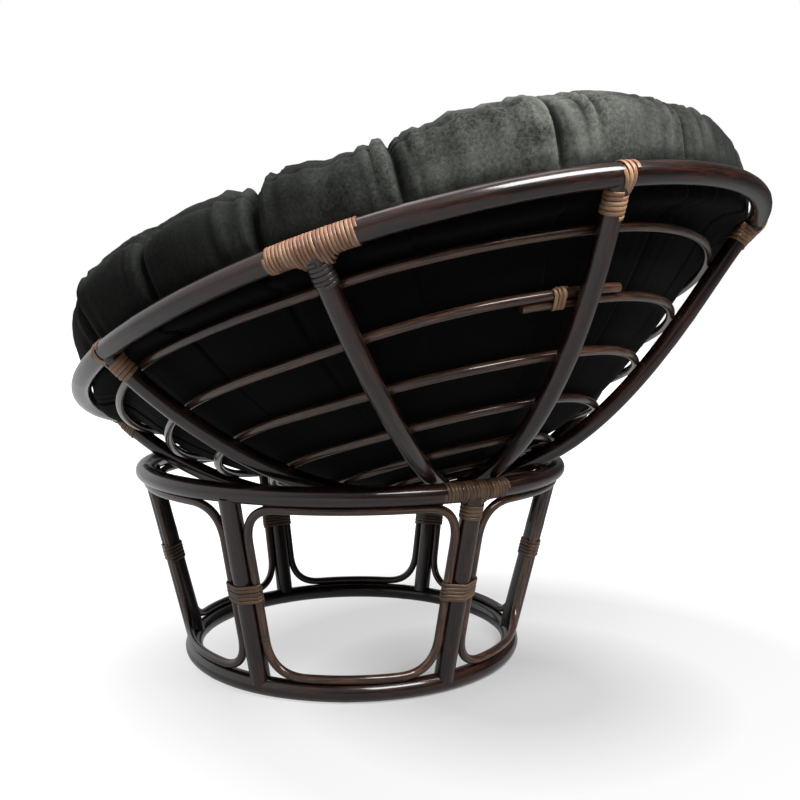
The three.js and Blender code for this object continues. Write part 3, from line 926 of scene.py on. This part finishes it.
def column_place(j):
    """The columns stand closer together by the seams, where the folds are sharp."""
    way = j * seam_count / around_steps
    return seam_start + turn / seam_count * (way - 0.72 * math.sin(turn * way) / turn)


cushion_columns = [cushion_column(column_place(j)) for j in range(around_steps)]
row_count = len(cushion_columns[0][0])


def by_rows(part, lowest, highest):
    """One list of all the columns, row by row, between the lowest and the highest point's."""
    rows = range(1, row_count - 1)
    return [lowest] + [column[part][i] for i in rows for column in cushion_columns] + [highest]


points = by_rows(0, Vector((0, 0, cushion_inset - bowl_radius)),
                 Vector((0, 0, seat_height - rim_drop - tuft_depth)))
faces = []
top = 1 + (row_count - 3) * around_steps
for j in range(around_steps):
    k = (j + 1) % around_steps
    faces.append((0, 1 + k, 1 + j))
    for low in range(1, top, around_steps):
        high = low + around_steps
        faces.append((low + j, low + k, high + k, high + j))
    faces.append((top + j, top + k, len(points) - 1))
cushion_mesh = bpy.data.meshes.new("cushion_cover")
cushion_mesh.from_pydata([bowl_place @ point for point in points], [], faces)
cushion = put("cushion_cover", cushion_mesh)

# The filling's pressure stretches the cloth a little between the seams, by no more than the cap
last_frame, cap = 20, 0.0025
held = cushion.vertex_groups.new(name="held")
for i, hold in enumerate(by_rows(1, 1.0, 1.0)):
    held.add([i], min(1.0, hold), "REPLACE")
before = [vertex.co.copy() for vertex in cushion_mesh.vertices]
blown = cushion.modifiers.new("blown", "CLOTH")
cloth = blown.settings
cloth.quality = 5
cloth.mass = 0.3
cloth.use_pressure = True
cloth.uniform_pressure_force = 3.0
cloth.effector_weights.gravity = 0
cloth.tension_stiffness = 12
cloth.compression_stiffness = 6
cloth.shear_stiffness = 4
cloth.bending_stiffness = 0.35
cloth.shrink_min = -0.02
cloth.shrink_max = -0.02
cloth.vertex_group_mass = "held"
cloth.pin_stiffness = 1.0
bpy.context.scene.frame_start = 1
bpy.context.scene.frame_end = last_frame
for step in range(1, last_frame + 1):
    bpy.context.scene.frame_set(step)
moved = cushion.evaluated_get(bpy.context.evaluated_depsgraph_get()).to_mesh()
settled = []
for was, now in zip(before, moved.vertices):
    shift = now.co - was
    settled.append(was + shift * min(1.0, cap / max(shift.length, 1e-9)))
cushion.modifiers.remove(blown)
bpy.context.scene.frame_set(1)
for vertex, place in zip(cushion_mesh.vertices, settled):
    vertex.co = place
cushion_mesh.shade_smooth()


def painted_light_at(at):
    """A painted patch of light: the nap is lighter on the part of the roll towards the key lamp,
    and darker elsewhere.
    """
    x, y = at.x, at.y + 0.13
    beside = math.degrees(math.atan2(y, x)) - 64
    return clamp((math.hypot(x, y) - 0.3) / 0.12) * bell(beside, 18)


# Painted light on one patch of the roll, painted shade on the underside, and painted light and
# shade on the folds, kept on the cover's points
for name, values in (("painted_light", [painted_light_at(vertex.co) for vertex in cushion_mesh.vertices]),
                     ("underside_shade", by_rows(2, 1.0, 0.0)), ("painted_fold_shading", by_rows(3, 0.5, 0.5))):
    cushion_mesh.attributes.new(name, "FLOAT", "POINT").data.foreach_set("value", values)

suede = Finish("cushion_suede", "suede", Roughness=0.85, Sheen_Weight=0.05, Sheen_Roughness=0.4,
               Specular_IOR_Level=0.1, Sheen_Tint=plain((190, 200, 192)))
cloth_place = suede.node("ShaderNodeTexCoord", {}, "Object")
nap = suede.speckle(cloth_place, 230.0, 5.0, 0.7)
brushed = suede.speckle(cloth_place, 14.0, 4.0)
grit = suede.speckle(cloth_place, 420.0, 2.0)
painted_light, painted_fold_shading, underside_shade = (suede.attribute(name) for name in ("painted_light", "painted_fold_shading", "underside_shade"))
mottle = suede.ramp(nap * 0.45 + brushed * 0.55, 0.36, 0.64)
# Painted light: the patch of the roll towards the key lamp, and painted light and shade on the
# folds, scale the nap's mottle
nap_and_painted_light = mottle * (painted_light * 0.84 + 0.16) * (painted_fold_shading * 1.8 + 0.1)
# Painted shade: the nap is darker still in the creases
painted_crease_shade = suede.blend(suede.ramp(painted_fold_shading, 0.4, 0.0), plain((21, 23, 21)), plain((6, 7, 6)))
tint = suede.blend(nap_and_painted_light, painted_crease_shade, plain((101, 104, 98)))
# Painted shade: the underside is near black
suede.drive(Base_Color=suede.blend(underside_shade, tint, plain((2, 3, 2))),
            Normal=suede.dent(grit * 0.5 + nap * 0.5, 0.0015, 0.5))
cushion_mesh.materials.append(suede.material)
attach(cushion, "cushion")
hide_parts("cushion")
